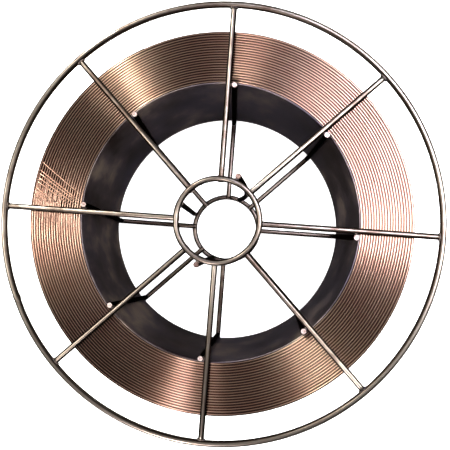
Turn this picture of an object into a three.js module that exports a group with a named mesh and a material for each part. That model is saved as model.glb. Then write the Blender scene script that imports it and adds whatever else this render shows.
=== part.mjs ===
// Wire basket spool for welding wire: two welded wire flanges held apart by barrel rods
// and hub rods, a sheet liner round the barrel rods, and the wound welding wire.
// Millimetres, +Z up. The spool lies flat: its axis is +Z, it rests on the rear hub ring
// at z = 0, and the front flange is on top. Every weld joins pieces that stand WELD_GAP apart.

import * as THREE from "three";

// ---- driving dimensions -------------------------------------------------------------
const FLANGE_DIA = 300;          // over the outside of the rim rings
const OVERALL_WIDTH = 102;       // over the outer faces of the two hub rings
const BORE_DIA = 52;             // inside the hub rings, for the spindle
const RIM_WIRE = 4.2;            // rim ring wire
const HUB_WIRE = 4;              // hub ring wire
const SPOKE_WIRE = 4;            // spoke wire
const BARREL_ROD_WIRE = 4;       // axial rods that carry the barrel
const HUB_ROD_WIRE = 4;          // axial rods between the hub rings
const SPOKE_COUNT = 8;           // per flange, one on +X
const LINER_INNER_DIA = 189;     // sheet liner round the barrel rods
const LINER_WALL = 0.8;
const WINDING_MARGIN = 18.8;      // the full winding stops this far inside the flange's edge
const WINDING_CHAMFER = 0.8;     // the outermost turns at the ends of the winding
const WELD_GAP = 0.3;            // between pieces that are welded or touch
const ROD_PROUD = 0.5;           // a barrel rod end stands this far past the spoke's outer face
const HUB_ROD_SETBACK = 0.5;     // a hub rod end stops this far short of the outer face
const HUB_ROD_ANGLE = 69;        // of the first hub rod, degrees from +X
const HUB_ROD_BOW = 6.5;         // sideways bow of the first hub rod, clockwise from above

// ---- facets ---------------------------------------------------------------------------
const WIRE_SIDES = 12;           // of spokes, rods and hub rings
const RIM_SIDES = 8;
const RIM_SEGMENTS = 96;
const HUB_SEGMENTS = 48;
const BARREL_SEGMENTS = 96;
const BOW_STEPS = 16;

// ---- places worked out from the dimensions ----------------------------------------------
const MID_Z = OVERALL_WIDTH / 2;
const rimRadius = (FLANGE_DIA - RIM_WIRE) / 2;                 // to the middle of the wire
const hubRadius = (BORE_DIA + HUB_WIRE) / 2;
const hubOffset = (OVERALL_WIDTH - HUB_WIRE) / 2;              // from the middle plane
const spokeOffset = hubOffset - HUB_WIRE / 2 - WELD_GAP - SPOKE_WIRE / 2;
const spokeInner = BORE_DIA / 2 + WELD_GAP;                    // radius of the inner end
const spokeOuter = FLANGE_DIA / 2 - RIM_WIRE - WELD_GAP;       // butts on the rim ring
const linerInner = LINER_INNER_DIA / 2;
const barrelRodRadius = linerInner - WELD_GAP - BARREL_ROD_WIRE / 2;
const barrelRodShift = (SPOKE_WIRE + BARREL_ROD_WIRE) / 2 + WELD_GAP;   // beside the spoke
const barrelHalf = spokeOffset - SPOKE_WIRE / 2 - WELD_GAP;    // half width between flanges
const hubRodOutside = hubRadius + (HUB_WIRE + HUB_ROD_WIRE) / 2 + WELD_GAP;

const group = new THREE.Group();
group.name = "wire_basket_spool";

// ---- materials ----------------------------------------------------------------------------
const drawnSteel = () => new THREE.MeshStandardMaterial({ color: 0xa39c92, roughness: 0.28, metalness: 1 });
const linerSteel = () => new THREE.MeshStandardMaterial({ color: 0x2c2a2d, roughness: 0.5, metalness: 0.7 });
const copperedWire = () => new THREE.MeshStandardMaterial({ color: 0xb4623a, roughness: 0.32, metalness: 1 });

const polar = (radius, degrees, z) => {
  const angle = THREE.MathUtils.degToRad(degrees);
  return new THREE.Vector3(radius * Math.cos(angle), radius * Math.sin(angle), z);
};

function addMesh(name, geometry, material) {
  const mesh = new THREE.Mesh(geometry, material);
  mesh.name = name;
  group.add(mesh);
  return mesh;
}

// A ring about the spool's axis, turned from a closed outline of (radius, height) points.
function turnedRing(outline, segments) {
  const closed = [...outline, outline[0]];
  const geometry = new THREE.LatheGeometry(closed, segments);
  geometry.rotateX(Math.PI / 2);
  return geometry;
}

// A ring of round wire. The flats of its section face up and down, so it rests on a flat
// that is as far from the wire's middle as the wire's own radius.
function wireRing(ringRadius, wire, sides, segments) {
  const corner = wire / 2 / Math.cos(Math.PI / sides);
  const outline = [];
  for (let i = 0; i < sides; i++) {
    const angle = Math.PI / 2 + (2 * Math.PI * (i + 0.5)) / sides;
    outline.push(new THREE.Vector2(ringRadius + corner * Math.cos(angle), corner * Math.sin(angle)));
  }
  return turnedRing(outline, segments);
}

// A straight piece of round wire from one point to another.
function straightWire(name, wire, from, to) {
  const run = to.clone().sub(from);
  const geometry = new THREE.CylinderGeometry(wire / 2, wire / 2, run.length(), WIRE_SIDES);
  const mesh = addMesh(name, geometry, drawnSteel());
  mesh.position.copy(from).addScaledVector(run, 0.5);
  mesh.quaternion.setFromUnitVectors(new THREE.Vector3(0, 1, 0), run.normalize());
}

// The middle line of a rod that bows sideways between its ends.
class BowedLine extends THREE.Curve {
  constructor(from, to, sideways) {
    super();
    Object.assign(this, { from, to, sideways });
  }

  getPoint(t, target = new THREE.Vector3()) {
    const share = Math.sin(Math.PI * t);
    return target.lerpVectors(this.from, this.to, t).addScaledVector(this.sideways, share);
  }
}

// A bent piece of round wire along a line.
function bentWire(name, wire, line) {
  const section = new THREE.Shape();
  for (let i = 0; i < WIRE_SIDES; i++) {
    const angle = (2 * Math.PI * i) / WIRE_SIDES;
    const corner = [(wire / 2) * Math.cos(angle), (wire / 2) * Math.sin(angle)];
    if (i === 0) section.moveTo(...corner);
    else section.lineTo(...corner);
  }
  section.closePath();
  const geometry = new THREE.ExtrudeGeometry(section, { steps: BOW_STEPS, extrudePath: line });
  addMesh(name, geometry, drawnSteel());
}

// ---- flanges: a rim ring and its spokes in one plane, the hub ring welded on outside them ----
const flanges = [
  { side: "front", sign: 1 },
  { side: "rear", sign: -1 },
];
for (const { side, sign } of flanges) {
  const spokeZ = MID_Z + sign * spokeOffset;
  const rimRing = wireRing(rimRadius, RIM_WIRE, RIM_SIDES, RIM_SEGMENTS);
  addMesh(`${side}_rim`, rimRing, drawnSteel()).position.z = spokeZ;
  const hubRing = wireRing(hubRadius, HUB_WIRE, WIRE_SIDES, HUB_SEGMENTS);
  addMesh(`${side}_hub_ring`, hubRing, drawnSteel()).position.z = MID_Z + sign * hubOffset;
  for (let i = 0; i < SPOKE_COUNT; i++) {
    const angle = (360 * i) / SPOKE_COUNT;
    const inner = polar(spokeInner, angle, spokeZ);
    const outer = polar(spokeOuter, angle, spokeZ);
    straightWire(`${side}_spoke_${i + 1}`, SPOKE_WIRE, inner, outer);
  }
}

// ---- barrel rods: each is welded to the clockwise side of a front spoke and butts on the inner
// face of the rear spoke behind it, so it leans a little ----
const rodTop = MID_Z + spokeOffset + SPOKE_WIRE / 2 + ROD_PROUD;
const rodTurn = THREE.MathUtils.radToDeg(Math.asin(barrelRodShift / barrelRodRadius));
const rodLean = Math.atan(barrelRodShift / (spokeOffset + barrelHalf));
const rodFoot = MID_Z - barrelHalf + (BARREL_ROD_WIRE / 2) * Math.sin(rodLean);
for (let i = 0; i < SPOKE_COUNT; i++) {
  const angle = (360 * i) / SPOKE_COUNT;
  const foot = polar(barrelRodRadius, angle, rodFoot);
  const besideSpoke = polar(barrelRodRadius, angle - rodTurn, MID_Z + spokeOffset);
  const run = besideSpoke.clone().sub(foot);
  const top = foot.clone().addScaledVector(run, (rodTop - rodFoot) / run.z);
  straightWire(`barrel_rod_${i + 1}`, BARREL_ROD_WIRE, foot, top);
}

// ---- hub rods: each end either lies outside its hub ring or butts on the ring's inner face ----
const outsideHeight = OVERALL_WIDTH / 2 - HUB_ROD_SETBACK;
const buttedHeight = hubOffset - HUB_WIRE / 2 - WELD_GAP;
const hubRods = [
  { front: "outside", rear: "butted", bow: HUB_ROD_BOW },
  { front: "butted", rear: "outside", bow: 0 },
  { front: "outside", rear: "butted", bow: 0 },
  { front: "butted", rear: "butted", bow: 0 },
];
function hubRodEnd(seat, angle, sign, bow) {
  if (seat === "outside") return polar(hubRodOutside, angle, MID_Z + sign * outsideHeight);
  const tilt = Math.atan((Math.PI * bow) / (2 * buttedHeight));   // of a bowed rod's end face
  const lift = (HUB_ROD_WIRE / 2) * Math.sin(tilt);
  return polar(hubRadius, angle, MID_Z + sign * (buttedHeight - lift));
}
hubRods.forEach(({ front, rear, bow }, i) => {
  const angle = HUB_ROD_ANGLE + (360 * i) / hubRods.length;
  const from = hubRodEnd(rear, angle, -1, bow);
  const to = hubRodEnd(front, angle, 1, bow);
  const name = `hub_rod_${i + 1}`;
  if (bow === 0) {
    straightWire(name, HUB_ROD_WIRE, from, to);
    return;
  }
  const clockwise = polar(bow, angle - 90, 0);
  bentWire(name, HUB_ROD_WIRE, new BowedLine(from, to, clockwise));
});

// ---- barrel liner and winding, both between the flanges ----
const linerOuter = linerInner + LINER_WALL;
const liner = turnedRing(
  [
    new THREE.Vector2(linerInner, -barrelHalf),
    new THREE.Vector2(linerOuter, -barrelHalf),
    new THREE.Vector2(linerOuter, barrelHalf),
    new THREE.Vector2(linerInner, barrelHalf),
  ],
  BARREL_SEGMENTS,
);
addMesh("barrel_liner", liner, linerSteel()).position.z = MID_Z;

const windingInner = linerOuter + WELD_GAP;
const windingOuter = FLANGE_DIA / 2 - WINDING_MARGIN;
const winding = turnedRing(
  [
    new THREE.Vector2(windingInner, -barrelHalf),
    new THREE.Vector2(windingOuter - WINDING_CHAMFER, -barrelHalf),
    new THREE.Vector2(windingOuter, -barrelHalf + WINDING_CHAMFER),
    new THREE.Vector2(windingOuter, barrelHalf - WINDING_CHAMFER),
    new THREE.Vector2(windingOuter - WINDING_CHAMFER, barrelHalf),
    new THREE.Vector2(windingInner, barrelHalf),
  ],
  BARREL_SEGMENTS,
);
addMesh("wire_winding", winding, copperedWire()).position.z = MID_Z;

export default group;
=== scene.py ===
# %% [markdown]
# # A wire basket spool full of copper-coated welding wire
#
# This lesson builds the looks of a welded wire spool. Two flanges of steel wire hold a
# sheet barrel between them, and the barrel carries about forty layers of fine welding wire.
# The sizes come from a CAD model that is loaded first, so each piece below is made in the
# place where the CAD model has it. Everything is in metres.

# %% load the measured model
import math
import bmesh
import bpy
from mathutils import Euler, Matrix, Vector, noise


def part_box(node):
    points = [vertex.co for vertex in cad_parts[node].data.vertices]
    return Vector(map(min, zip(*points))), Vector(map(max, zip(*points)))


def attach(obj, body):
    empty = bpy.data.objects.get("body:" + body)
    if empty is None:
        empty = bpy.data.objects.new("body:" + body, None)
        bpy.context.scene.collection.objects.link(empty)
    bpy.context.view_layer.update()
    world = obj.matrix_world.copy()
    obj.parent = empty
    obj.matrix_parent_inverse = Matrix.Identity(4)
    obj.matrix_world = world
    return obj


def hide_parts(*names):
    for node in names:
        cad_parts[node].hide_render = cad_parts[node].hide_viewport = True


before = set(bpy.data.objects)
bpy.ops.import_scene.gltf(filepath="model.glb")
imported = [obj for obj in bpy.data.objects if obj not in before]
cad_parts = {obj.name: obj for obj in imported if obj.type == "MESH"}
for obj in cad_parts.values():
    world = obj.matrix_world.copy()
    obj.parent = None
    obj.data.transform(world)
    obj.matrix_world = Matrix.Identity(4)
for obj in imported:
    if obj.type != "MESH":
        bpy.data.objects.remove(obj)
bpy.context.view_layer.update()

MM = 0.001

# %% [markdown]
# ## Sizes
#
# A spool has few sizes, and most of them are read from the CAD nodes' boxes: a box gives a
# wire's thickness, the height of its middle line, and how far from the axis it lies.
# Reading them keeps this file right if the CAD model changes.

# %% read the main sizes
def middle_height(node):
    """Height of a node's middle above the floor."""
    low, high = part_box(node)
    return (low.z + high.z) / 2


def thickness(node):
    """Height of a node's box, which is the diameter of a wire that lies flat."""
    low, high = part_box(node)
    return high.z - low.z


SIDES = ("front", "rear")
OUTWARD = {"front": 1, "rear": -1}
spoke_height = {side: middle_height(f"{side}_spoke_1") for side in SIDES}
hub_height = {side: middle_height(f"{side}_hub_ring") for side in SIDES}
rim_wire = thickness("front_rim")
hub_wire = thickness("front_hub_ring")
spoke_wire = thickness("front_spoke_1")
rim_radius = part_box("front_rim")[1].x - rim_wire / 2
hub_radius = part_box("front_hub_ring")[1].x - hub_wire / 2
spoke_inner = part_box("front_spoke_1")[0].x
spoke_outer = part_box("front_spoke_1")[1].x
print("rim ring", round(rim_radius / MM, 1), "hub ring", round(hub_radius / MM, 1),
      "spoke from", round(spoke_inner / MM, 1), "to", round(spoke_outer / MM, 1))

# %% read the barrel, its rods and the winding
SPOKES = 8
rod_low, rod_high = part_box("barrel_rod_1")
barrel_rod_wire = 4 * MM
WELD_GAP = 0.3 * MM
rod_radius = (rod_low.x + rod_high.x) / 2
liner_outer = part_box("barrel_liner")[1].x
LINER_WALL = 0.8 * MM
liner_low, liner_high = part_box("barrel_liner")[0].z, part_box("barrel_liner")[1].z
winding_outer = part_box("wire_winding")[1].x
winding_inner = liner_outer + WELD_GAP
winding_low, winding_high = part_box("wire_winding")[0].z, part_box("wire_winding")[1].z
print("liner", round(liner_outer / MM, 1), "winding out to", round(winding_outer / MM, 1),
      "barrel rods at", round(rod_radius / MM, 1))

# %% [markdown]
# ## Camera
#
# The spool lies on its rear flange and the camera looks down into it from close by. It is
# a little off the axis, so the rear flange shows through the front one, shifted to one
# side. A short distance gives that strong perspective, and a lens of 35 mm frames it.

# %% set up the camera
camera_data = bpy.data.cameras.new("camera")
camera_data.lens = 35.2
camera_data.shift_x = -0.0093
camera_data.shift_y = 0.0341
camera_data.clip_start = 0.01
camera = bpy.data.objects.new("camera", camera_data)
camera.location = (0.0257, -0.0199, 0.3902)
camera.rotation_euler = Euler([math.radians(a) for a in (1.708, 3.193, 4.377)])
bpy.context.scene.collection.objects.link(camera)
bpy.context.scene.camera = camera
bpy.context.scene.view_settings.view_transform = "Standard"
print("camera height above the front flange, mm:",
      round((camera.location.z - spoke_height["front"]) / MM))

# %% [markdown]
# ## Laying nodes from a script
#
# Both Geometry Nodes trees and materials are node trees, so one small helper serves both.
# It adds a node, sets its options, and then fills each input: a socket is wired, and any
# other value is typed in. A socket knows its own tree, so the helpers for arithmetic ask it.

# %% helpers for node trees
def lay(tree, kind, inputs=None, **options):
    """Adds a node, sets its options, then wires or fills its inputs."""
    node = tree.nodes.new(kind)
    for option, value in options.items():
        setattr(node, option, value)
    for key, value in (inputs or {}).items():
        if isinstance(value, bpy.types.NodeSocket):
            tree.links.new(value, node.inputs[key])
        else:
            node.inputs[key].default_value = value
    return node


def calc(operation, a, b=0.0, c=0.0):
    """One step of arithmetic between numbers and sockets, in the sockets' own tree."""
    tree = next(v for v in (a, b, c) if isinstance(v, bpy.types.NodeSocket)).id_data
    return lay(tree, "ShaderNodeMath", {0: a, 1: b, 2: c}, operation=operation).outputs[0]


def times(a, b):
    """Multiplies two numbers or sockets."""
    return calc("MULTIPLY", a, b)


def minus(a, b):
    """Takes the second number or socket from the first."""
    return calc("SUBTRACT", a, b)


def sum_of(first, *others):
    """Adds several numbers or sockets."""
    for other in others:
        first = calc("ADD", first, other)
    return first


def remap(value, low, high, to_low=0.0, to_high=1.0, **options):
    """Stretches the range low to high onto another one, and stays at its ends outside it."""
    inputs = {"Value": value, "From Min": low, "From Max": high,
              "To Min": to_low, "To Max": to_high}
    return lay(value.id_data, "ShaderNodeMapRange", inputs, **options).outputs[0]


def vector(operation, a, inputs):
    """One step of vector arithmetic."""
    return lay(a.id_data, "ShaderNodeVectorMath", {0: a, **inputs}, operation=operation).outputs[0]


def noise_of(tree, output="Fac", dimensions="3D", **inputs):
    """A noise pattern, as a number (Fac) or as a colour (Color)."""
    node = lay(tree, "ShaderNodeTexNoise", inputs, noise_dimensions=dimensions)
    return node.outputs[output]


def start_tree(name, sizes):
    """A Geometry Nodes tree with a geometry socket each way and a named input for each size."""
    tree = bpy.data.node_groups.new(name, "GeometryNodeTree")
    face = tree.interface
    face.new_socket("Geometry", in_out="OUTPUT", socket_type="NodeSocketGeometry")
    face.new_socket("Geometry", in_out="INPUT", socket_type="NodeSocketGeometry")
    for label, kind in sizes.items():
        face.new_socket(label, in_out="INPUT", socket_type="NodeSocket" + kind)
    return tree, lay(tree, "NodeGroupInput").outputs


def then(geometry, kind, inputs=None):
    """Sends a geometry through one more node."""
    node = lay(geometry.id_data, "GeometryNode" + kind, {0: geometry, **(inputs or {})})
    return node.outputs[0]


def named(tree, name, kind="FLOAT"):
    """Reads a named attribute of the geometry."""
    node = lay(tree, "GeometryNodeInputNamedAttribute", {"Name": name}, data_type=kind)
    return node.outputs[0]


def capture(geometry, kind, value):
    """Keeps a value on a geometry, so that it is still known after the geometry changes."""
    tree = geometry.id_data
    node = lay(tree, "GeometryNodeCaptureAttribute")
    node.capture_items.new(kind, "kept")
    tree.links.new(geometry, node.inputs["Geometry"])
    tree.links.new(value, node.inputs["kept"])
    return node.outputs["Geometry"], node.outputs["kept"]


def store(geometry, name, kind, value, domain="POINT"):
    """Writes a named attribute that materials can read later."""
    inputs = {"Geometry": geometry, "Name": name, "Value": value}
    return lay(geometry.id_data, "GeometryNodeStoreNamedAttribute", inputs,
               data_type=kind, domain=domain).outputs["Geometry"]


def wander(cloud, reach):
    """Turns a noise colour into an offset round zero."""
    centred = vector("SUBTRACT", cloud, {1: (0.5, 0.5, 0.5)})
    return vector("SCALE", centred, {"Scale": reach})


def end_tree(geometry, material):
    """Smooth shading, real geometry and a material, and the way out of the tree."""
    geometry = then(geometry, "SetShadeSmooth")
    geometry = then(geometry, "RealizeInstances")
    geometry = then(geometry, "SetMaterial", {"Material": material})
    lay(geometry.id_data, "NodeGroupOutput", {0: geometry})


# %% [markdown]
# ## From a modifier to a plain mesh
#
# A tree runs as a modifier. Its inputs are set by the socket's identifier before the object
# is evaluated, the evaluated result becomes a plain mesh, and the modifier goes. The
# enclosed volume is printed as a check: it is positive when the faces point outwards.

# %% helpers that finish a piece
def enclosed_volume(mesh):
    """Volume in cubic centimetres inside a closed mesh, negative if it is inside out."""
    mesh.calc_loop_triangles()
    points = mesh.vertices
    total = 0.0
    for triangle in mesh.loop_triangles:
        a, b, c = (points[i].co for i in triangle.vertices)
        total += a.dot(b.cross(c)) / 6
    return total / (10 * MM) ** 3


def new_object(name, mesh):
    """Puts a mesh in the scene at the origin."""
    piece = bpy.data.objects.new(name, mesh)
    bpy.context.scene.collection.objects.link(piece)
    return piece


def report(piece):
    """Prints a piece's size."""
    triangles = sum(len(p.vertices) - 2 for p in piece.data.polygons)
    print(f"{piece.name}: {triangles} triangles, {enclosed_volume(piece.data):.2f} cm3")


def grow(name, tree, settings, guide=None):
    """Runs a Geometry Nodes tree on a guide mesh and keeps the result as a plain mesh."""
    piece = new_object(name, guide or bpy.data.meshes.new(name + "_guide"))
    modifier = piece.modifiers.new(tree.name, "NODES")
    modifier.node_group = tree
    for item in tree.interface.items_tree:
        if item.item_type == "SOCKET" and item.name in settings:
            modifier[item.identifier] = settings[item.name]
    shaped = piece.evaluated_get(bpy.context.evaluated_depsgraph_get())
    mesh = bpy.data.meshes.new_from_object(shaped)
    piece.modifiers.clear()
    piece.data = mesh
    mesh.name = name
    report(piece)
    return piece


def finish_piece(piece, nodes):
    """Fastens a piece to the spool's one body in place of its CAD nodes."""
    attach(piece, "root")
    if nodes:
        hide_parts(*nodes)


# %% [markdown]
# ## Finish: drawn steel wire
#
# The flanges are low-carbon wire, drawn through a die and left bare. Drawing leaves fine
# lines along the wire, oil and handling leave a thin brownish tarnish, and each weld leaves
# temper colours: straw, brown, then blue, and dull grey at the weld. The lines follow the
# attribute wire_co, a point's place on the wire if it were straight. The tarnish follows
# Object coordinates, and the temper colours follow the attribute heat. Painted shade
# darkens the flanks of each wire, by how far a surface turns from the axis, so that only
# the tops stay bright. The rear flange and the rods get a darker copy of the same steel,
# which is painted shade for parts that lie deeper in the spool.

# %% drawn steel material
def type_in(shader, values):
    """Types values straight into a shader's inputs."""
    for name, value in values.items():
        shader.inputs[name].default_value = value


def start_material(name, metallic, roughness):
    """A material with its main shader, and the coordinates that its patterns start from."""
    material = bpy.data.materials.new(name)
    material.use_nodes = True
    shader = material.node_tree.nodes["Principled BSDF"]
    type_in(shader, {"Metallic": metallic, "Roughness": roughness})
    return material, material.node_tree, shader


def patches(tree, scale, detail, low, high):
    """Cloudy patches on Object coordinates: 0 below low, 1 above high."""
    place = lay(tree, "ShaderNodeTexCoord").outputs["Object"]
    cloud = noise_of(tree, Vector=place, Scale=scale, Detail=detail, Roughness=0.6)
    return remap(cloud, low, high)


def attribute(tree, name, output="Fac"):
    """Reads an attribute of the mesh in a material."""
    return lay(tree, "ShaderNodeAttribute", attribute_name=name).outputs[output]


def drawing_lines(tree, fineness, stretch):
    """Fine lines along a wire, from its straightened coordinates."""
    place = attribute(tree, "wire_co", "Vector")
    place = lay(tree, "ShaderNodeMapping", {"Vector": place, "Scale": (1, 1, stretch)}).outputs[0]
    return noise_of(tree, Vector=place, Scale=fineness, Detail=4)


def ramp(value, stops):
    """A colour ramp from (position, colour) stops."""
    node = lay(value.id_data, "ShaderNodeValToRGB", {0: value})
    while len(node.color_ramp.elements) < len(stops):
        node.color_ramp.elements.new(0.5)
    for element, (position, colour) in zip(node.color_ramp.elements, stops):
        element.position = position
        element.color = (*colour, 1)
    return node.outputs["Color"]


def blend(share, a, b):
    """Mixes two colours by a share."""
    tree = share.id_data
    node = lay(tree, "ShaderNodeMix", {0: share}, data_type="RGBA", blend_type="MIX")
    for socket, value in ((node.inputs[6], a), (node.inputs[7], b)):
        if isinstance(value, bpy.types.NodeSocket):
            tree.links.new(value, socket)
        else:
            socket.default_value = (*value, 1)
    return node.outputs[2]


def wire_up(shader, name, value):
    """Connects a result to one input of the shader."""
    value.id_data.links.new(value, shader.inputs[name])


def relief(shader, height, depth):
    """Turns a pattern into relief of a given depth."""
    bump = lay(height.id_data, "ShaderNodeBump",
               {"Height": height, "Distance": depth, "Strength": 1.0})
    wire_up(shader, "Normal", bump.outputs["Normal"])


# Painted shade: the colour that the flanks of a steel wire are darkened towards.
PAINTED_FLANK_SHADE = (0.030, 0.022, 0.018)
TEMPER_COLOURS = [(0.16, (0.60, 0.56, 0.50)), (0.40, (0.52, 0.36, 0.18)),
                  (0.58, (0.24, 0.11, 0.10)), (0.74, (0.09, 0.14, 0.30)),
                  (0.95, (0.09, 0.085, 0.08))]


def make_drawn_steel(name, clean, tarnished, roughness):
    material, tree, shader = start_material(name, 1.0, roughness)
    tarnish = patches(tree, 55, 6, 0.42, 0.66)
    lines = drawing_lines(tree, 3500, 0.02)
    share = times(tarnish, sum_of(attribute(tree, "tone"), 0.35))
    colour = blend(share, clean, tarnished)
    colour = blend(times(lines, 0.25), colour, (0.10, 0.085, 0.075))
    # Painted shade: flanks that turn away from the axis are darkened, standing in for the dark room
    # they mirror.
    normal = lay(tree, "ShaderNodeNewGeometry").outputs["Normal"]
    upright = lay(tree, "ShaderNodeSeparateXYZ", {0: normal}).outputs[2]
    painted_flank_shade = remap(calc("ABSOLUTE", upright), 0.80, 1.0, 0.93, 0.0)
    colour = blend(painted_flank_shade, colour, PAINTED_FLANK_SHADE)
    heat = sum_of(attribute(tree, "heat"), times(patches(tree, 220, 4, 0.3, 0.7), 0.16))
    colour = blend(remap(heat, 0.18, 0.5), colour, ramp(heat, TEMPER_COLOURS))
    wire_up(shader, "Base Color", colour)
    worn = sum_of(share, times(heat, 0.6))
    wire_up(shader, "Roughness", remap(worn, 0.0, 1.4, roughness, roughness + 0.12))
    relief(shader, lines, 0.002 * MM)
    type_in(shader, {"Specular Tint": (0.16, 0.13, 0.11, 1)})
    return material


drawn_steel = make_drawn_steel("drawn_steel", (0.42, 0.365, 0.32), (0.15, 0.105, 0.085), 0.276)
# A darker copy of the drawn steel: painted shade for the rear flange and the rods, which lie deeper
# in the spool.
shaded_steel = make_drawn_steel("shaded_steel", (0.17, 0.135, 0.115), (0.060, 0.042, 0.035), 0.28)
wire_steel = {"front": drawn_steel, "rear": shaded_steel}
print("materials:", drawn_steel.name, shaded_steel.name)

# %% [markdown]
# ## Finish: welds and cut ends
#
# The crossings are resistance welded: current melts the two wires together under pressure
# and squeezes out a small dull bead with blue and brown scale. The rods are sheared to
# length, and a sheared face is torn and slightly rough. One function makes two finishes
# of it: clean pale metal for the spokes and barrel rods, and rust for the hub rods.

# %% weld and cut-end materials
def make_mottled(name, metallic, roughness, cloud, stops, bumps, depth):
    """A metal whose colour follows cloudy patches, with a relief."""
    material, tree, shader = start_material(name, metallic, roughness)
    shades = patches(tree, *cloud)
    wire_up(shader, "Base Color", ramp(shades, stops))
    relief(shader, patches(tree, *bumps) if bumps else shades, depth)
    return material


def make_cut_end(name, dark, middle, light):
    return make_mottled(name, 0.7, 0.5, (900, 4, 0.36, 0.64),
                        [(0.0, dark), (0.5, middle), (1.0, light)], None, 0.04 * MM)


weld_metal = make_mottled(
    "weld_metal", 1.0, 0.42, (700, 5, 0.35, 0.65),
    [(0.0, (0.30, 0.27, 0.25)), (0.45, (0.15, 0.11, 0.09)),
     (0.75, (0.08, 0.08, 0.12)), (1.0, (0.05, 0.045, 0.04))],
    (1500, 3, 0.2, 0.8), 0.05 * MM)
cut_end = make_cut_end("cut_end", (0.28, 0.185, 0.17), (0.48, 0.375, 0.36), (0.66, 0.58, 0.565))
rusty_end = make_cut_end("rusty_end", (0.06, 0.035, 0.030), (0.17, 0.105, 0.095),
                         (0.32, 0.22, 0.20))

# %% [markdown]
# ## Sweeping a round wire
#
# Every wire here is a circle run along a path with Curve to Mesh. Three values are captured
# on the way. The place across the wire, from the circle, and the length along it, from the
# path, are joined into wire_co. The path's direction is kept as wire_direction, for
# highlights that are stretched by drawing marks. Flat end caps are told apart by their
# number of corners.

# %% the sweep that all wires share
def sweep(path, diameter, sides, swell):
    """Runs a circle along a path and stores wire_co and wire_direction on the result."""
    tree = path.id_data
    path, along = capture(path, "FLOAT",
                          lay(tree, "GeometryNodeSplineParameter").outputs["Length"])
    path, direction = capture(path, "VECTOR", lay(tree, "GeometryNodeInputTangent").outputs[0])
    section = lay(tree, "GeometryNodeCurvePrimitiveCircle",
                  {"Resolution": sides, "Radius": times(diameter, 0.5)}).outputs["Curve"]
    section, across = capture(section, "VECTOR",
                              lay(tree, "GeometryNodeInputPosition").outputs[0])
    tube = then(path, "CurveToMesh",
                {"Profile Curve": section, "Scale": swell, "Fill Caps": True})
    parts = lay(tree, "ShaderNodeSeparateXYZ", {0: across}).outputs
    place = lay(tree, "ShaderNodeCombineXYZ", {0: parts[0], 1: parts[1], 2: along}).outputs[0]
    tube = store(tube, "wire_direction", "FLOAT_VECTOR", direction)
    return store(tube, "wire_co", "FLOAT_VECTOR", place)


def dress(wire, material, cap_material):
    """Gives the round of the wire one material and its flat ends another."""
    tree = wire.id_data
    corners = lay(tree, "GeometryNodeInputMeshFaceNeighbors").outputs["Vertex Count"]
    is_cap = lay(tree, "FunctionNodeCompare", {2: corners, 3: 4},
                 data_type="INT", operation="GREATER_THAN").outputs[0]
    is_round = lay(tree, "FunctionNodeBooleanMath", {0: is_cap}, operation="NOT").outputs[0]
    wire = then(wire, "SetShadeSmooth", {"Shade Smooth": is_round})
    wire = then(wire, "SetMaterial", {"Material": material})
    return then(wire, "SetMaterial", {"Selection": is_cap, "Material": cap_material})


def mark_crowns(wire, outward):
    """Stores how squarely each point of a wound wire faces out of the winding, from 0 to 1; the
    copper paints shade on the flanks from it.
    """
    normal = lay(wire.id_data, "GeometryNodeInputNormal").outputs[0]
    facing = lay(wire.id_data, "ShaderNodeVectorMath", {0: normal, 1: outward},
                 operation="DOT_PRODUCT")
    return store(wire, "crown", "FLOAT", facing.outputs["Value"])


# %% [markdown]
# ## Tree 1: a set of equal rods round the axis
#
# The eight spokes of a flange are one straight wire repeated every 45 degrees, and so are
# the eight barrel rods. The tree takes the middle line of one rod as a guide, sets copies
# of it on points with Instance on Points, bends each a little with noise, since no real
# rod is quite straight, and sweeps the wire. Copies of the line are swept rather than
# copies of the wire, so that the noise differs from rod to rod. The guide's own points
# carry swell, which narrows a chamfered end, and heat, which colours the metal at a weld.

# %% tree: rods round the axis
rod_sizes = {"Rods": "Int", "Wire diameter": "Float", "Sides": "Int", "Wander": "Float",
             "Seed": "Int", "Wire": "Material", "Cut ends": "Material"}
rod_tree, given = start_tree("rods_round_the_axis", rod_sizes)
points = lay(rod_tree, "GeometryNodePoints", {"Count": given["Rods"]}).outputs[0]
step = calc("DIVIDE", math.tau, given["Rods"])
turn = times(lay(rod_tree, "GeometryNodeInputIndex").outputs[0], step)
euler = lay(rod_tree, "ShaderNodeCombineXYZ", {"Z": turn}).outputs[0]
turned = lay(rod_tree, "FunctionNodeEulerToRotation", {0: euler}).outputs[0]
line = then(given["Geometry"], "MeshToCurve")
copies = then(points, "InstanceOnPoints", {"Instance": line, "Rotation": turned})
chance = lay(rod_tree, "FunctionNodeRandomValue", {2: 0.0, 3: 1.0, "Seed": given["Seed"]},
             data_type="FLOAT").outputs[1]
copies = store(copies, "tone", "FLOAT", chance, "INSTANCE")
lines = then(copies, "RealizeInstances")
cloud = noise_of(rod_tree, "Color", "4D", Scale=14, W=given["Seed"])
bent = then(lines, "SetPosition", {"Offset": wander(cloud, given["Wander"])})
wire = sweep(bent, given["Wire diameter"], given["Sides"], named(rod_tree, "swell"))
wire = then(dress(wire, given["Wire"], given["Cut ends"]), "RealizeInstances")
lay(rod_tree, "NodeGroupOutput", {0: wire})

# %% [markdown]
# ## Guides
#
# A guide is a mesh of points and edges with no faces. Each point has its place, its swell
# and its heat. Extra points close to an end make a short chamfer there, and the heat falls
# off within a few millimetres of each weld.

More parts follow.
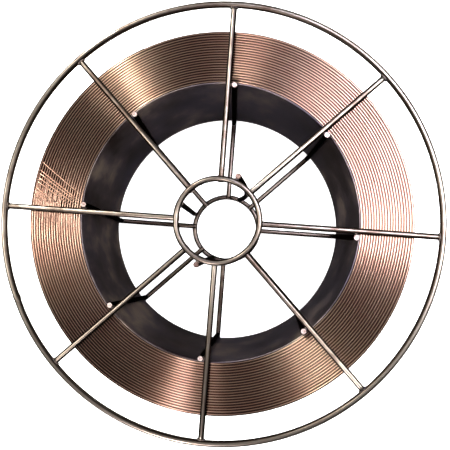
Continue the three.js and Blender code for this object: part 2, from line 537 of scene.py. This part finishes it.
# %% make guides
def make_guide(name, lines):
    """Lines of points in one mesh. A line is a list of (place, swell, heat)."""
    mesh = bpy.data.meshes.new(name)
    flat = [point for line in lines for point in line]
    edges, start = [], 0
    for line in lines:
        edges += [(start + i, start + i + 1) for i in range(len(line) - 1)]
        start += len(line)
    mesh.from_pydata([p[0] for p in flat], edges, [])
    for label, column in (("swell", 1), ("heat", 2)):
        values = mesh.attributes.new(label, "FLOAT", "POINT").data
        for value, point in zip(values, flat):
            value.value = point[column]
    return mesh


HEAT_REACH = 3.2 * MM
CHAMFERED = 0.84
ROD_SIDES = 20


def rod_line(start, end, welds, chamfer, steps=60):
    """The middle line of a straight rod, with chamfered ends and heat near its welds."""
    start, end = Vector(start), Vector(end)
    length = (end - start).length
    inner = [chamfer + (length - 2 * chamfer) * i / (steps - 1) for i in range(steps)]
    line = []
    for s in [0.0] + inner + [length]:
        heat = max([math.exp(-((s - weld) / HEAT_REACH) ** 2) for weld in welds] + [0])
        swell = 1.0 if 0 < s < length else CHAMFERED
        line.append((start.lerp(end, s / length), swell, heat))
    return line


# %% spokes
def grow_rods(name, guide, rods, diameter, wander, seed, wire, ends, sides=ROD_SIDES):
    """Runs the tree for rods on a guide line."""
    return grow(name, rod_tree,
                {"Rods": rods, "Wire diameter": diameter, "Sides": sides, "Wander": wander,
                 "Seed": seed, "Wire": wire, "Cut ends": ends}, guide)


def make_spokes(side):
    """Eight spokes of one flange."""
    z = spoke_height[side]
    welds = (1.5 * MM, rod_radius - spoke_inner, spoke_outer - spoke_inner)
    line = rod_line((spoke_inner, 0, z), (spoke_outer, 0, z), welds, 0.3 * MM)
    spokes = grow_rods(f"{side}_spokes", make_guide(f"{side}_spoke_line", [line]), SPOKES,
                       spoke_wire, 0.35 * MM, 3 if side == "front" else 8,
                       wire_steel[side], cut_end)
    finish_piece(spokes, [f"{side}_spoke_{i + 1}" for i in range(SPOKES)])
    return spokes


for side in SIDES:
    make_spokes(side)

# %% [markdown]
# ## Barrel rods
#
# At the front a barrel rod passes the clockwise side of a spoke, is welded to it, and
# stands half a millimetre proud. At the rear it butts on the inner face of the spoke
# behind, so each rod leans by the width of a wire. The line is worked out for the rod
# beside the spoke on +X, and the tree repeats it. Both ends are sheared.

# %% barrel rods
def polar(radius, degrees, z):
    """A point from its distance to the axis, its direction and its height."""
    angle = math.radians(degrees)
    return Vector((radius * math.cos(angle), radius * math.sin(angle), z))


rod_shift = (spoke_wire + barrel_rod_wire) / 2 + WELD_GAP
rod_turn = math.degrees(math.asin(rod_shift / rod_radius))
rod_foot = polar(rod_radius, 0, rod_low.z)
beside_spoke = polar(rod_radius, -rod_turn, spoke_height["front"])
rod_run = beside_spoke - rod_foot
rod_top = rod_foot + rod_run * ((rod_high.z - rod_foot.z) / rod_run.z)
line = rod_line(rod_foot, rod_top, [0, rod_run.length], 0.35 * MM)
barrel_rods = grow_rods("barrel_rods", make_guide("barrel_rod_line", [line]), SPOKES,
                        barrel_rod_wire, 0.15 * MM, 5, shaded_steel, cut_end)
finish_piece(barrel_rods, [f"barrel_rod_{i + 1}" for i in range(SPOKES)])
print("a barrel rod leans by", round(math.degrees(rod_run.angle((0, 0, 1))), 1), "degrees")

# %% [markdown]
# ## Hub rods
#
# Four rods join the two hub rings. An end either lies against the outside of its ring or
# butts on the ring's inner face. The first rod bows sideways. They differ from each other,
# so their lines are drawn one by one, and the same tree makes the wire with a single copy.

# %% hub rods
HUB_RODS = 4
HUB_ROD_ANGLE = 69
HUB_ROD_BOW = 6.5 * MM
hub_rod_wire = 4 * MM
seat = {"outside": (hub_radius + (hub_wire + hub_rod_wire) / 2 + WELD_GAP, 1.5 * MM),
        "butted": (hub_radius, -hub_wire / 2 - WELD_GAP)}
hub_rods_ends = [("outside", "butted", HUB_ROD_BOW), ("butted", "outside", 0),
                 ("outside", "butted", 0), ("butted", "butted", 0)]


def hub_rod_line(number):
    """The middle line of one hub rod, from the rear end to the front one."""
    front, rear, bow = hub_rods_ends[number]
    angle = HUB_ROD_ANGLE + 360 / HUB_RODS * number
    ends = []
    for side, kind in (("rear", rear), ("front", front)):
        radius, beyond = seat[kind]
        lift = 0.4 * MM if bow and kind == "butted" else 0
        height = hub_height[side] + OUTWARD[side] * (beyond - lift)
        ends.append(polar(radius, angle, height))
    sideways = polar(bow, angle - 90, 0)
    length = (ends[1] - ends[0]).length
    welds = [length - 2 * MM if front == "outside" else length,
             2 * MM if rear == "outside" else 0]
    line = rod_line(ends[0], ends[1], welds, 0.35 * MM)
    return [(place + sideways * math.sin(math.pi * (place - ends[0]).length / length), swell, heat)
            for place, swell, heat in line]


hub_rods = grow_rods("hub_rods",
                     make_guide("hub_rod_lines", [hub_rod_line(n) for n in range(HUB_RODS)]),
                     1, hub_rod_wire, 0.12 * MM, 12, shaded_steel, rusty_end)
finish_piece(hub_rods, [f"hub_rod_{n + 1}" for n in range(HUB_RODS)])

# %% [markdown]
# ## Tree 2: a ring of wire with a butt joint
#
# A rim or hub ring is a length of wire bent round and butt welded. The weld leaves a low
# collar of squeezed metal, and the two ends never meet at quite the same slope, so there is
# a slight kink. The tree starts its circle at the joint, so both the collar and the kink
# depend only on the distance from the start. Heat rises at the joint and at each spoke.

# %% tree: a ring of wire
ring_sizes = {"Ring radius": "Float", "Wire diameter": "Float", "Height": "Float",
              "Steps": "Int", "Sides": "Int", "Joint angle": "Float", "Collar": "Float",
              "Kink": "Float", "Spokes": "Float", "Wire": "Material"}
ring_tree, given = start_tree("wire_ring", ring_sizes)
COLLAR_REACH, KINK_REACH = 0.9 * MM, 7 * MM


def fading(distance, reach):
    """1 at a distance of nothing, and down by a factor of e for each reach."""
    return calc("POWER", math.e, calc("DIVIDE", times(distance, -1.0), reach))


def on_circle(radius, angle, height):
    """A point from its distance to the axis, its direction and its height, as sockets."""
    return lay(angle.id_data, "ShaderNodeCombineXYZ",
               {0: times(radius, calc("COSINE", angle)),
                1: times(radius, calc("SINE", angle)), 2: height}).outputs[0]


loop = lay(ring_tree, "GeometryNodeCurvePrimitiveCircle",
           {"Resolution": given["Steps"], "Radius": given["Ring radius"]}).outputs["Curve"]
share = lay(ring_tree, "GeometryNodeSplineParameter").outputs["Factor"]
angle = sum_of(times(share, math.tau), given["Joint angle"])
nearest = calc("MINIMUM", share, minus(1.0, share))
apart = times(nearest, times(given["Ring radius"], math.tau))
at_joint = fading(apart, COLLAR_REACH)
radius = minus(given["Ring radius"], times(fading(apart, KINK_REACH), given["Kink"]))
loop = then(loop, "SetPosition", {"Position": on_circle(radius, angle, given["Height"])})
beat = calc("COSINE", times(angle, given["Spokes"]))
beat = calc("MULTIPLY_ADD", beat, 0.5, 0.5)
sharp = calc("DIVIDE", times(given["Ring radius"], given["Ring radius"]), 200 * MM * MM)
heat = calc("MAXIMUM", calc("POWER", beat, sharp), times(at_joint, 0.9))
loop = store(loop, "heat", "FLOAT", heat)
loop = store(loop, "tone", "FLOAT", calc("MULTIPLY_ADD", calc("SINE", angle), 0.25, 0.45))
swell = calc("MULTIPLY_ADD", at_joint, given["Collar"], 1.0)
end_tree(sweep(loop, given["Wire diameter"], given["Sides"], swell), given["Wire"])

# %% rims and hub rings
ring_joints = {"front_rim": 205, "rear_rim": 20, "front_hub_ring": 184, "rear_hub_ring": 62}
for side in SIDES:
    for name, radius, wire_size, height, steps, collar in (
            (f"{side}_rim", rim_radius, rim_wire, spoke_height[side], 360, 0.14),
            (f"{side}_hub_ring", hub_radius, hub_wire, hub_height[side], 160, -0.12)):
        ring = grow(name + "_wire", ring_tree,
                    {"Ring radius": radius, "Wire diameter": wire_size, "Height": height,
                     "Steps": steps, "Sides": 24, "Joint angle": math.radians(ring_joints[name]),
                     "Collar": collar, "Kink": 0.35 * MM, "Spokes": float(SPOKES),
                     "Wire": wire_steel[side]})
        finish_piece(ring, [name])

# %% [markdown]
# ## Tree 3: weld beads
#
# Each place where two wires meet has a bead of squeezed metal. The places follow from the
# layout, so a script lists them as points, each with the size and turn of its bead. The
# tree sets a lump on every point and roughens it with noise. A lump has 320 faces,
# which is enough for a bead of two or three millimetres.

# %% tree: weld beads
bead_sizes = {"Lumpiness": "Float", "Seed": "Float", "Weld": "Material"}
bead_tree, given = start_tree("weld_beads", bead_sizes)
lump = lay(bead_tree, "GeometryNodeMeshIcoSphere", {"Radius": 1.0, "Subdivisions": 3}).outputs[0]
size = named(bead_tree, "bead_size", "FLOAT_VECTOR")
turn = lay(bead_tree, "FunctionNodeEulerToRotation",
           {0: named(bead_tree, "bead_turn", "FLOAT_VECTOR")}).outputs[0]
points = then(given["Geometry"], "MeshToPoints")
lumps = then(points, "InstanceOnPoints", {"Instance": lump, "Rotation": turn, "Scale": size})
lumps = then(lumps, "RealizeInstances")
cloud = noise_of(bead_tree, "Fac", "4D", Scale=650, Detail=2, W=given["Seed"])
push = times(minus(cloud, 0.5), given["Lumpiness"])
normal = lay(bead_tree, "GeometryNodeInputNormal").outputs[0]
lumps = then(lumps, "SetPosition", {"Offset": vector("SCALE", normal, {"Scale": push})})
end_tree(lumps, given["Weld"])


# %% list the welds of a flange
def bead(place, size, degrees):
    """One bead: its place, its half sizes (outward, sideways, along the axis) in mm, its turn."""
    return place, [s * MM for s in size], (0, 0, math.radians(degrees))


def flange_beads(side):
    """Beads of one flange: at the rim, at the barrel rods, at the hub ring and at the hub rods."""
    z, out = spoke_height[side], OUTWARD[side]
    between = (spoke_height[side] + hub_height[side]) / 2
    beads = []
    for i in range(SPOKES):
        angle = 360 / SPOKES * i
        half_way = math.degrees(math.asin(rod_shift / 2 / rod_radius))
        beads += [bead(polar(spoke_outer + 0.1 * MM, angle, z), (0.9, 3.1, 1.7), angle),
                  bead(polar(hub_radius, angle, between), (1.7, 1.7, 0.9), angle)]
        if side == "front":
            beads.append(bead(polar(rod_radius, angle - half_way, z), (1.6, 0.9, 1.6), angle))
        else:
            foot = polar(rod_radius, angle, rod_foot.z - WELD_GAP / 2)
            beads.append(bead(foot, (2.2, 2.1, 0.9), angle))
    for n, (front, rear, _) in enumerate(hub_rods_ends):
        angle = HUB_ROD_ANGLE + 360 / HUB_RODS * n
        if (front if side == "front" else rear) == "outside":
            spot = polar(hub_radius + (hub_wire + WELD_GAP) / 2, angle, hub_height[side])
            beads.append(bead(spot, (0.8, 1.7, 1.5), angle))
        else:
            spot = polar(hub_radius, angle, hub_height[side] - out * (hub_wire / 2 + WELD_GAP))
            beads.append(bead(spot, (2.3, 2.5, 0.8), angle))
    return beads


def bead_guide(name, beads):
    """Points that carry the size and the turn of each bead."""
    mesh = bpy.data.meshes.new(name)
    mesh.from_pydata([b[0] for b in beads], [], [])
    for label, column in (("bead_size", 1), ("bead_turn", 2)):
        values = mesh.attributes.new(label, "FLOAT_VECTOR", "POINT").data
        for value, b in zip(values, beads):
            value.vector = b[column]
    return mesh


for side in SIDES:
    beads = flange_beads(side)
    piece = grow(f"{side}_weld_beads", bead_tree,
                 {"Lumpiness": 0.7 * MM, "Seed": 2.0 if side == "front" else 6.0,
                  "Weld": weld_metal}, bead_guide(f"{side}_weld_points", beads))
    finish_piece(piece, [])
    print(side, "flange:", len(beads), "welds")

# %% [markdown]
# ## Finish: dark liner sheet
#
# The barrel is a strip of thin cold-rolled sheet, oiled against rust. It is almost black,
# with a bluish and purple cast, wide lighter blotches that are partly thicker oil and partly
# painted sheen, and fine marks round the strip from rolling. The oil film is a coat on the
# shader.

# %% liner material
def make_liner_steel():
    material, tree, shader = start_material("liner_steel", 0.93, 0.30)
    # Lighter blotches: partly thicker oil, partly painted sheen.
    oil_and_painted_sheen = patches(tree, 24, 5, 0.36, 0.66)
    cast = patches(tree, 9, 3, 0.40, 0.62)
    colour = ramp(oil_and_painted_sheen, [(0.0, (0.075, 0.052, 0.045)), (0.55, (0.200, 0.158, 0.165)),
                        (1.0, (0.520, 0.410, 0.340))])
    wire_up(shader, "Base Color", blend(times(cast, 0.6), colour, (0.155, 0.140, 0.205)))
    place = lay(tree, "ShaderNodeTexCoord").outputs["Object"]
    banded = lay(tree, "ShaderNodeMapping", {"Vector": place, "Scale": (1, 1, 60)}).outputs[0]
    rolled = noise_of(tree, Vector=banded, Scale=30, Detail=4)
    rough = calc("MULTIPLY_ADD", oil_and_painted_sheen, 0.16, calc("MULTIPLY_ADD", rolled, 0.12, 0.24))
    wire_up(shader, "Roughness", rough)
    type_in(shader, {"Coat Weight": 0.2, "Coat Roughness": 0.22})
    relief(shader, rolled, 0.02 * MM)
    return material


liner_steel = make_liner_steel()

# %% [markdown]
# ## Barrel liner
#
# A single strip is rolled round the barrel rods and its ends meet over one of them. The
# tension of the winding pulls it in a little between the rods. It is made in mesh code: an
# outline with rounded edges is repeated round the circle, with its radius eased inwards
# between the rods, and the two ends are closed where the strip stops.

# %% liner
def liner_outline():
    """Points (distance in from the outer face, height) round the strip's section."""
    wall, round_off, rows = LINER_WALL, 0.22 * MM, 20
    low, high = liner_low, liner_high
    rise = [low + 0.35 * MM + (high - low - 0.7 * MM) * i / rows for i in range(rows + 1)]
    outline = [(0, z) for z in rise]
    outline += [(round_off, high), (wall - round_off, high)]
    outline += [(wall, z) for z in reversed(rise)]
    outline += [(wall - round_off, low), (round_off, low)]
    return outline


def join_rings(bm, a, b):
    """A band of faces between two rings of vertices."""
    for j in range(len(a)):
        k = (j + 1) % len(a)
        bm.faces.new((a[j], b[j], b[k], a[k]))


def object_from(bm, name, material):
    """Turns a mesh in the making into an object of one material."""
    mesh = bpy.data.meshes.new(name)
    bm.to_mesh(mesh)
    bm.free()
    mesh.materials.append(material)
    return new_object(name, mesh)


LINER_TURNS = 288
LINER_JOINT_GAP = 0.35 * MM


def make_liner():
    """The strip, from one of its ends round to the other."""
    bm = bmesh.new()
    outline, turns = liner_outline(), LINER_TURNS
    first = 180 - rod_turn / 2
    gap = math.degrees(LINER_JOINT_GAP / liner_outer)
    rings = []
    for i in range(turns + 1):
        angle = first + gap + (360 - 2 * gap) * i / turns
        between = 0.5 - 0.5 * math.cos(math.radians(angle - first) * SPOKES)
        ring = []
        for depth, z in outline:
            spot = polar(liner_outer, angle, z)
            dent = noise.noise(spot * 28) + 0.6 * noise.noise(spot * 70)
            pull = 0.10 * MM * between + 0.06 * MM * dent
            ring.append(bm.verts.new(polar(liner_outer - depth - max(pull, 0), angle, z)))
        rings.append(ring)
    for a, b in zip(rings, rings[1:]):
        join_rings(bm, a, b)
    bm.faces.new(rings[0])
    bm.faces.new(list(reversed(rings[-1])))
    bmesh.ops.recalc_face_normals(bm, faces=bm.faces)
    for face in bm.faces:
        face.smooth = len(face.verts) == 4
    return object_from(bm, "barrel_liner_sheet", liner_steel)


liner = make_liner()
report(liner)
finish_piece(liner, ["barrel_liner"])

# %% [markdown]
# ## Finish: copper-coated wire
#
# Welding wire is steel with a thin bright coat of copper and a trace of drawing oil. The
# copper is pinkish where it is fresh and browner where it has tarnished. Each strand has
# its own tone, and fine lines run along it. Those lines stretch the highlight, so it
# follows wire_direction. Painted shade darkens the grooves: a strand that lies deeper is
# marked for it, and so is the flank of any strand, told by crown, which falls as it turns
# away.

# %% coppered wire material
# The colour of the painted shade in the grooves between strands and on their flanks.
PAINTED_SHADE_BROWN = (0.045, 0.014, 0.012)


def make_coppered_wire(name, fresh, brown, roughness):
    material, tree, shader = start_material(name, 1.0, roughness)
    tarnish = patches(tree, 38, 6, 0.38, 0.68)
    share = calc("MULTIPLY_ADD", tarnish, 0.45, times(attribute(tree, "tone"), 0.3))
    colour = blend(share, fresh, brown)
    lines = drawing_lines(tree, 6000, 0.006)
    specks = noise_of(tree, Vector=attribute(tree, "wire_co", "Vector"), Scale=60, Detail=3)
    colour = blend(times(specks, 0.3), colour, (0.42, 0.20, 0.15))
    colour = blend(times(lines, 0.3), colour, (0.84, 0.62, 0.50))
    # Painted shade: the flanks of a strand and the deeper strands are darkened towards the groove
    # colour.
    painted_flank_shade = remap(attribute(tree, "crown"), 0.62, 0.98, 0.95, 0.0)
    painted_groove_shade = calc("MAXIMUM", times(attribute(tree, "painted_recess_shade"), 0.86), painted_flank_shade)
    wire_up(shader, "Base Color", blend(painted_groove_shade, colour, PAINTED_SHADE_BROWN))
    wire_up(shader, "Roughness", calc("MULTIPLY_ADD", share, 0.02, roughness))
    relief(shader, lines, 0.0015 * MM)
    wire_up(shader, "Tangent", attribute(tree, "wire_direction", "Vector"))
    type_in(shader, {"Specular Tint": (0.45, 0.22, 0.17, 1), "Anisotropic": 0.85,
                     "Anisotropic Rotation": 0.25})
    return material


coppered_wire = make_coppered_wire("coppered_wire", (0.98, 0.68, 0.52), (0.66, 0.31, 0.24), 0.28)

# %% [markdown]
# ## Tree 4: the side face of the winding
#
# Seen from the side, a winding is a stack of rings, one for each layer. The layers nest in
# each other's grooves, so every second one stands proud by over half a wire. The wire is one
# continuous strand: at the flange it finishes a layer, climbs on top of it, and starts the
# next. So two layers share one strand, which goes round twice and climbs half way. The
# tree makes one such strand for each pair of layers. It starts under the face, rises to
# it, steps outwards at the climb, and dives again. The climb of each pair is a little
# further round than that of the pair inside it, and noise gives every strand its wander.

# %% tree: side face of the winding
face_sizes = {"Pairs of layers": "Int", "Inner radius": "Float", "Layer step": "Float",
              "Wire diameter": "Float", "Face height": "Float", "Outward": "Float",
              "Steps": "Int", "Sides": "Int", "Climb angle": "Float", "Climb drift": "Float",
              "Climb length": "Float", "Pressed in": "Float", "Spokes": "Float",
              "Wander": "Float", "Seed": "Float", "Wire": "Material"}
face_tree, given = start_tree("winding_side_face", face_sizes)

NEST_DEPTH = 0.62       # of a wire, between two neighbouring layers at the face
WAVES = 3.2             # how quickly the wander changes round the face


def eased(value, low, high):
    """0 below low, 1 above high, and a smooth rise between them."""
    return remap(value, low, high, interpolation_type="SMOOTHSTEP")


start = lay(face_tree, "GeometryNodeCurvePrimitiveLine", {"End": (1, 0, 0)}).outputs[0]
strand = then(start, "ResampleCurve", {"Count": sum_of(times(given["Steps"], 2), 1)})
points = lay(face_tree, "GeometryNodePoints", {"Count": given["Pairs of layers"]}).outputs[0]
copies = then(points, "InstanceOnPoints", {"Instance": strand})
number = lay(face_tree, "GeometryNodeInputIndex").outputs[0]
strands = then(store(copies, "pair", "FLOAT", number, "INSTANCE"), "RealizeInstances")
pair = named(face_tree, "pair")
turns = times(lay(face_tree, "GeometryNodeSplineParameter").outputs["Factor"], 2)
lag = noise_of(face_tree, "Fac", "1D", W=times(pair, 3.7), Scale=1.0)
angle = sum_of(times(turns, math.tau), given["Climb angle"], times(pair, given["Climb drift"]),
               times(minus(lag, 0.5), 0.30))
climb = given["Climb length"]
climbed = eased(turns, minus(1.0, climb), sum_of(1.0, climb))
layer = sum_of(times(pair, 2), climbed)
risen = eased(turns, 0.0, climb)
leaving = eased(turns, minus(2.0, climb), 2.0)

# %% wander, height and radius of the strands
around = on_circle(WAVES, angle, sum_of(times(layer, 3.1), given["Seed"]))
cloud = noise_of(face_tree, "Color", Vector=around, Scale=1.0, Detail=3)
shift = lay(face_tree, "ShaderNodeSeparateXYZ", {0: cloud}).outputs
radius = sum_of(given["Inner radius"], times(layer, given["Layer step"]),
                times(minus(shift[0], 0.5), given["Wander"]))
beat = calc("MULTIPLY_ADD", calc("COSINE", times(angle, given["Spokes"])), 0.5, 0.5)
diameter = given["Wire diameter"]
depth = sum_of(times(diameter, 0.5), times(climbed, times(diameter, NEST_DEPTH)),
               times(minus(1.0, risen), diameter), times(leaving, diameter),
               times(calc("POWER", beat, 9.0), given["Pressed in"]),
               times(shift[1], given["Wander"]))
height = minus(given["Face height"], times(depth, given["Outward"]))
strands = then(strands, "SetPosition", {"Position": on_circle(radius, angle, height)})
strands = store(strands, "tone", "FLOAT", calc("FRACT", times(pair, 0.618)))
# The deeper layer of each pair is marked for painted shade in the grooves.
strands = store(strands, "painted_recess_shade", "FLOAT", climbed)
outward = lay(face_tree, "ShaderNodeCombineXYZ", {2: given["Outward"]}).outputs[0]
end_tree(mark_crowns(sweep(strands, diameter, given["Sides"], 1.0), outward), given["Wire"])

# %% side faces of the winding
WELDING_WIRE = 1.0 * MM
PAIRS = 20
first_layer = winding_inner + WELDING_WIRE / 2
last_layer = winding_outer - WELDING_WIRE / 2 - 0.15 * MM
layer_step = (last_layer - first_layer) / (2 * PAIRS - 1)
face_height = {"front": winding_high, "rear": winding_low}
for side in SIDES:
    face = grow(f"{side}_winding_face", face_tree,
                {"Pairs of layers": PAIRS, "Inner radius": first_layer, "Layer step": layer_step,
                 "Wire diameter": WELDING_WIRE, "Face height": face_height[side],
                 "Outward": float(OUTWARD[side]), "Steps": 168, "Sides": 8,
                 "Climb angle": math.radians(182 if side == "front" else 40),
                 "Climb drift": math.radians(-0.6), "Climb length": 0.035,
                 "Pressed in": 0.22 * MM, "Spokes": float(SPOKES), "Wander": 0.16 * MM,
                 "Seed": 4.0 if side == "front" else 31.0, "Wire": coppered_wire})
    finish_piece(face, ["wire_winding"] if side == "front" else [])
print("layers:", 2 * PAIRS, "step, mm:", round(layer_step / MM, 3))

# %% [markdown]
# ## Crossing strands
#
# Where the winder jumped back to the other side, a few turns cross the front face in
# nearly straight lines, from the outermost layer down to an inner one. They all cross in
# the same stretch, just before a spoke. The tree for rods sweeps them too: each line lies
# on the face and dips into the winding at both ends.

# %% crossing strands
CROSSINGS = (165.4, 167.9, 168.9, 170.2, 171.4, 173.4, 174.6, 175.8)
CROSSING_END = 177.6
CROSSING_WIRE = 0.8 * MM
DEGREES_PER_METRE = 227


def crossing_line(first):
    """One strand from the outer edge inwards, with its two ends dipping under the face."""
    reach = min((CROSSING_END - first) / DEGREES_PER_METRE, winding_outer - winding_inner - 2 * MM)
    height = winding_high - 0.28 * MM
    start = polar(winding_outer - 0.7 * MM, first, height)
    end = polar(winding_outer - reach, first + reach * DEGREES_PER_METRE, height)
    line = []
    for i in range(41):
        dip = 1.1 * MM * abs(i / 20 - 1) ** 8
        line.append((start.lerp(end, i / 40) - Vector((0, 0, dip)), 1.0, 0.0))
    return line


guide = make_guide("crossing_lines", [crossing_line(first) for first in CROSSINGS])
crowns = guide.attributes.new("crown", "FLOAT", "POINT").data
for value in crowns:
    value.value = 1.0
crossing_strands = grow_rods("crossing_strands", guide, 1, CROSSING_WIRE, 0.5 * MM, 21,
                             coppered_wire, coppered_wire, sides=8)
finish_piece(crossing_strands, [])

# %% [markdown]
# ## Tree 5: the outside of the winding
#
# The last layer is one long helix, each turn against the one before. A Spiral curve with
# equal start and end radii is that helix. Noise lets the turns wander by a hair. The turns
# at both ends are marked for painted shade, which darkens the edges of the winding.

# %% tree: outer layer
helix_sizes = {"Turns": "Float", "Radius": "Float", "Width": "Float", "Low end": "Float",
               "Steps": "Int", "Wire diameter": "Float", "Sides": "Int", "Wander": "Float",
               "Wire": "Material"}
helix_tree, given = start_tree("winding_outer_layer", helix_sizes)
helix = lay(helix_tree, "GeometryNodeCurveSpiral",
            {"Resolution": given["Steps"], "Rotations": given["Turns"],
             "Start Radius": given["Radius"], "End Radius": given["Radius"],
             "Height": given["Width"]}).outputs[0]
raised = lay(helix_tree, "ShaderNodeCombineXYZ", {2: given["Low end"]}).outputs[0]
EDGE_TURNS = 0.482      # from the middle of the helix, as a share of its length
cloud = noise_of(helix_tree, "Color", Scale=26, Detail=4)
move = vector("ADD", wander(cloud, given["Wander"]), {1: raised})
helix = then(helix, "SetPosition", {"Offset": move})
along = lay(helix_tree, "GeometryNodeSplineParameter").outputs["Factor"]
tone = calc("PINGPONG", calc("FRACT", times(along, 7.3)), 0.5)
helix = store(helix, "tone", "FLOAT", tone)
from_middle = calc("ABSOLUTE", minus(along, 0.5))
# The edge turns are marked for painted shade.
helix = store(helix, "painted_recess_shade", "FLOAT", calc("GREATER_THAN", from_middle, EDGE_TURNS))
wire = sweep(helix, given["Wire diameter"], given["Sides"], 1.0)
spot = lay(helix_tree, "GeometryNodeInputPosition").outputs[0]
away = vector("NORMALIZE", vector("MULTIPLY", spot, {1: (1, 1, 0)}), {})
end_tree(mark_crowns(wire, away), given["Wire"])

helix_width = winding_high - winding_low - 1.3 * WELDING_WIRE
outer_layer = grow("winding_outer_layer", helix_tree,
                   {"Turns": helix_width / (1.01 * WELDING_WIRE),
                    "Radius": winding_outer - WELDING_WIRE / 2 - 0.09 * MM, "Width": helix_width,
                    "Low end": winding_low + 0.65 * WELDING_WIRE, "Steps": 132,
                    "Wire diameter": WELDING_WIRE, "Sides": 6, "Wander": 0.18 * MM,
                    "Wire": coppered_wire})
finish_piece(outer_layer, [])

# %% [markdown]
# ## The body of the winding
#
# The layers between the two faces are hidden, so one ring with bevelled edges fills the
# space behind them. It is a dark copy of the copper and closes the gaps between the
# strands with painted shade: the dark brown that is seen in them.

# %% filling of the winding
# A darker copy of the coppered wire: painted shade for the gaps between strands.
shaded_packed_wire = make_coppered_wire("shaded_packed_wire", (0.20, 0.10, 0.07), (0.08, 0.04, 0.03), 0.55)


def make_ring_solid(name, outline, turns, material):
    """A closed ring turned from (radius, height) corners."""
    bm = bmesh.new()
    rings = [[bm.verts.new(polar(r, 360 * i / turns, z)) for r, z in outline] for i in range(turns)]
    for i in range(turns):
        join_rings(bm, rings[i], rings[(i + 1) % turns])
    bmesh.ops.recalc_face_normals(bm, faces=bm.faces)
    return object_from(bm, name, material)


inset, soften = 1.25 * WELDING_WIRE, 0.4 * MM
r0, r1 = winding_inner + 0.1 * MM, winding_outer - 0.75 * WELDING_WIRE
z0, z1 = winding_low + inset, winding_high - inset
filling = make_ring_solid("winding_filling",
                          [(r0, z0), (r1 - soften, z0), (r1, z0 + soften), (r1, z1 - soften),
                           (r1 - soften, z1), (r0, z1)], 192, shaded_packed_wire)
report(filling)
finish_piece(filling, [])

# %% [markdown]
# ## Floor and light
#
# The spool lies on a pale floor that runs up into a pale wall all round. The floor glows a
# little, so that it stays white inside the barrel, where the spool would shade it, and
# glossy rays don't see it. The wires then mirror the lights and the dark of the room: that
# gives each wire its bright middle and, together with the painted shade on the flanks, its
# dark edges.

# %% floor
def make_floor():
    """A disc that curves up into a wall."""
    bm = bmesh.new()
    profile = [(1.2, 0.0), (1.9, 0.05), (2.4, 0.35), (2.6, 0.9), (2.6, 3.0)]
    centre = bm.verts.new((0, 0, 0))
    turns = 64
    rings = [[bm.verts.new(polar(r, 360 * i / turns, z)) for i in range(turns)]
             for r, z in profile]
    for i in range(turns):
        k = (i + 1) % turns
        bm.faces.new((centre, rings[0][i], rings[0][k]))
        for a, b in zip(rings, rings[1:]):
            bm.faces.new((a[i], b[i], b[k], a[k]))
    for face in bm.faces:
        face.smooth = True
    paint, _, shader = start_material("pale_floor", 0.0, 0.9)
    type_in(shader, {"Base Color": (0.9, 0.9, 0.9, 1), "Emission Color": (1, 1, 1, 1),
                     "Emission Strength": 0.95})
    floor = object_from(bm, "floor", paint)
    floor.visible_glossy = False
    return floor


floor = make_floor()
world = bpy.data.worlds.new("dim_room")
world.use_nodes = True
type_in(world.node_tree.nodes["Background"],
        {"Color": (0.022, 0.020, 0.021, 1), "Strength": 1.0})
bpy.context.scene.world = world


# %% [markdown]
# ## Lamps
#
# A round wire shows a lamp only where the wire runs square to it. The rings of the winding
# therefore light up in two opposite fans for each lamp, in the lamp's direction. Four tall,
# narrow lamps on the right, left, upper left and lower side make the fans. A weak overhead
# lamp lines every wire. A small window lamp, with a narrow beam, is aimed at the right side
# only. Two low lamps reach the outside of the winding, which the others pass over.

# %% lamps
def add_lamp(name, direction, tilt, distance, size, power, colour=(1, 1, 1), aim=(0, 0, 0.09),
             spread=180):
    """A soft lamp: its direction from +X, its tilt from straight up and its beam, in degrees."""
    light = bpy.data.lights.new(name, "AREA")
    light.shape = "RECTANGLE"
    light.size, light.size_y = size
    light.energy = power
    light.color = colour
    light.spread = math.radians(spread)
    lamp = bpy.data.objects.new(name, light)
    toward = polar(math.sin(math.radians(tilt)), direction, math.cos(math.radians(tilt)))
    lamp.location = Vector(aim) + toward * distance
    across = Vector((0, 0, 1)).cross(toward).normalized() if tilt > 1 else Vector((1, 0, 0))
    turn = Matrix((across, toward.cross(across), toward)).transposed()
    lamp.rotation_euler = turn.to_euler()
    bpy.context.scene.collection.objects.link(lamp)
    return lamp


right_side = polar(0.125, 30, 0.09)
add_lamp("overhead_lamp", 0, 0, 1.2, (0.5, 0.5), 0.42)
add_lamp("right_lamp", 6.5, 40, 1.1, (0.20, 0.6), 8, (1.0, 0.97, 0.92))
add_lamp("left_lamp", 181, 40, 1.1, (0.20, 0.6), 5, (1.0, 0.94, 0.82))
add_lamp("window_lamp", 42, 14, 0.36, (0.28, 0.16), 0.32, (0.88, 0.86, 1.0), right_side, 50)
add_lamp("upper_left_lamp", 129, 50, 1.3, (0.05, 0.5), 12, (1.0, 0.98, 0.88))
add_lamp("low_side_lamp", 62, 87, 1.6, (0.7, 0.3), 5)
add_lamp("low_back_lamp", 236, 87, 1.6, (0.7, 0.3), 5)
add_lamp("lower_lamp", 256, 50, 1.4, (0.10, 0.5), 11, (1.0, 0.90, 0.86))

# %% [markdown]
# ## Finish
#
# Last, the scene is brought up to date.

# %% finish
bpy.context.view_layer.update()
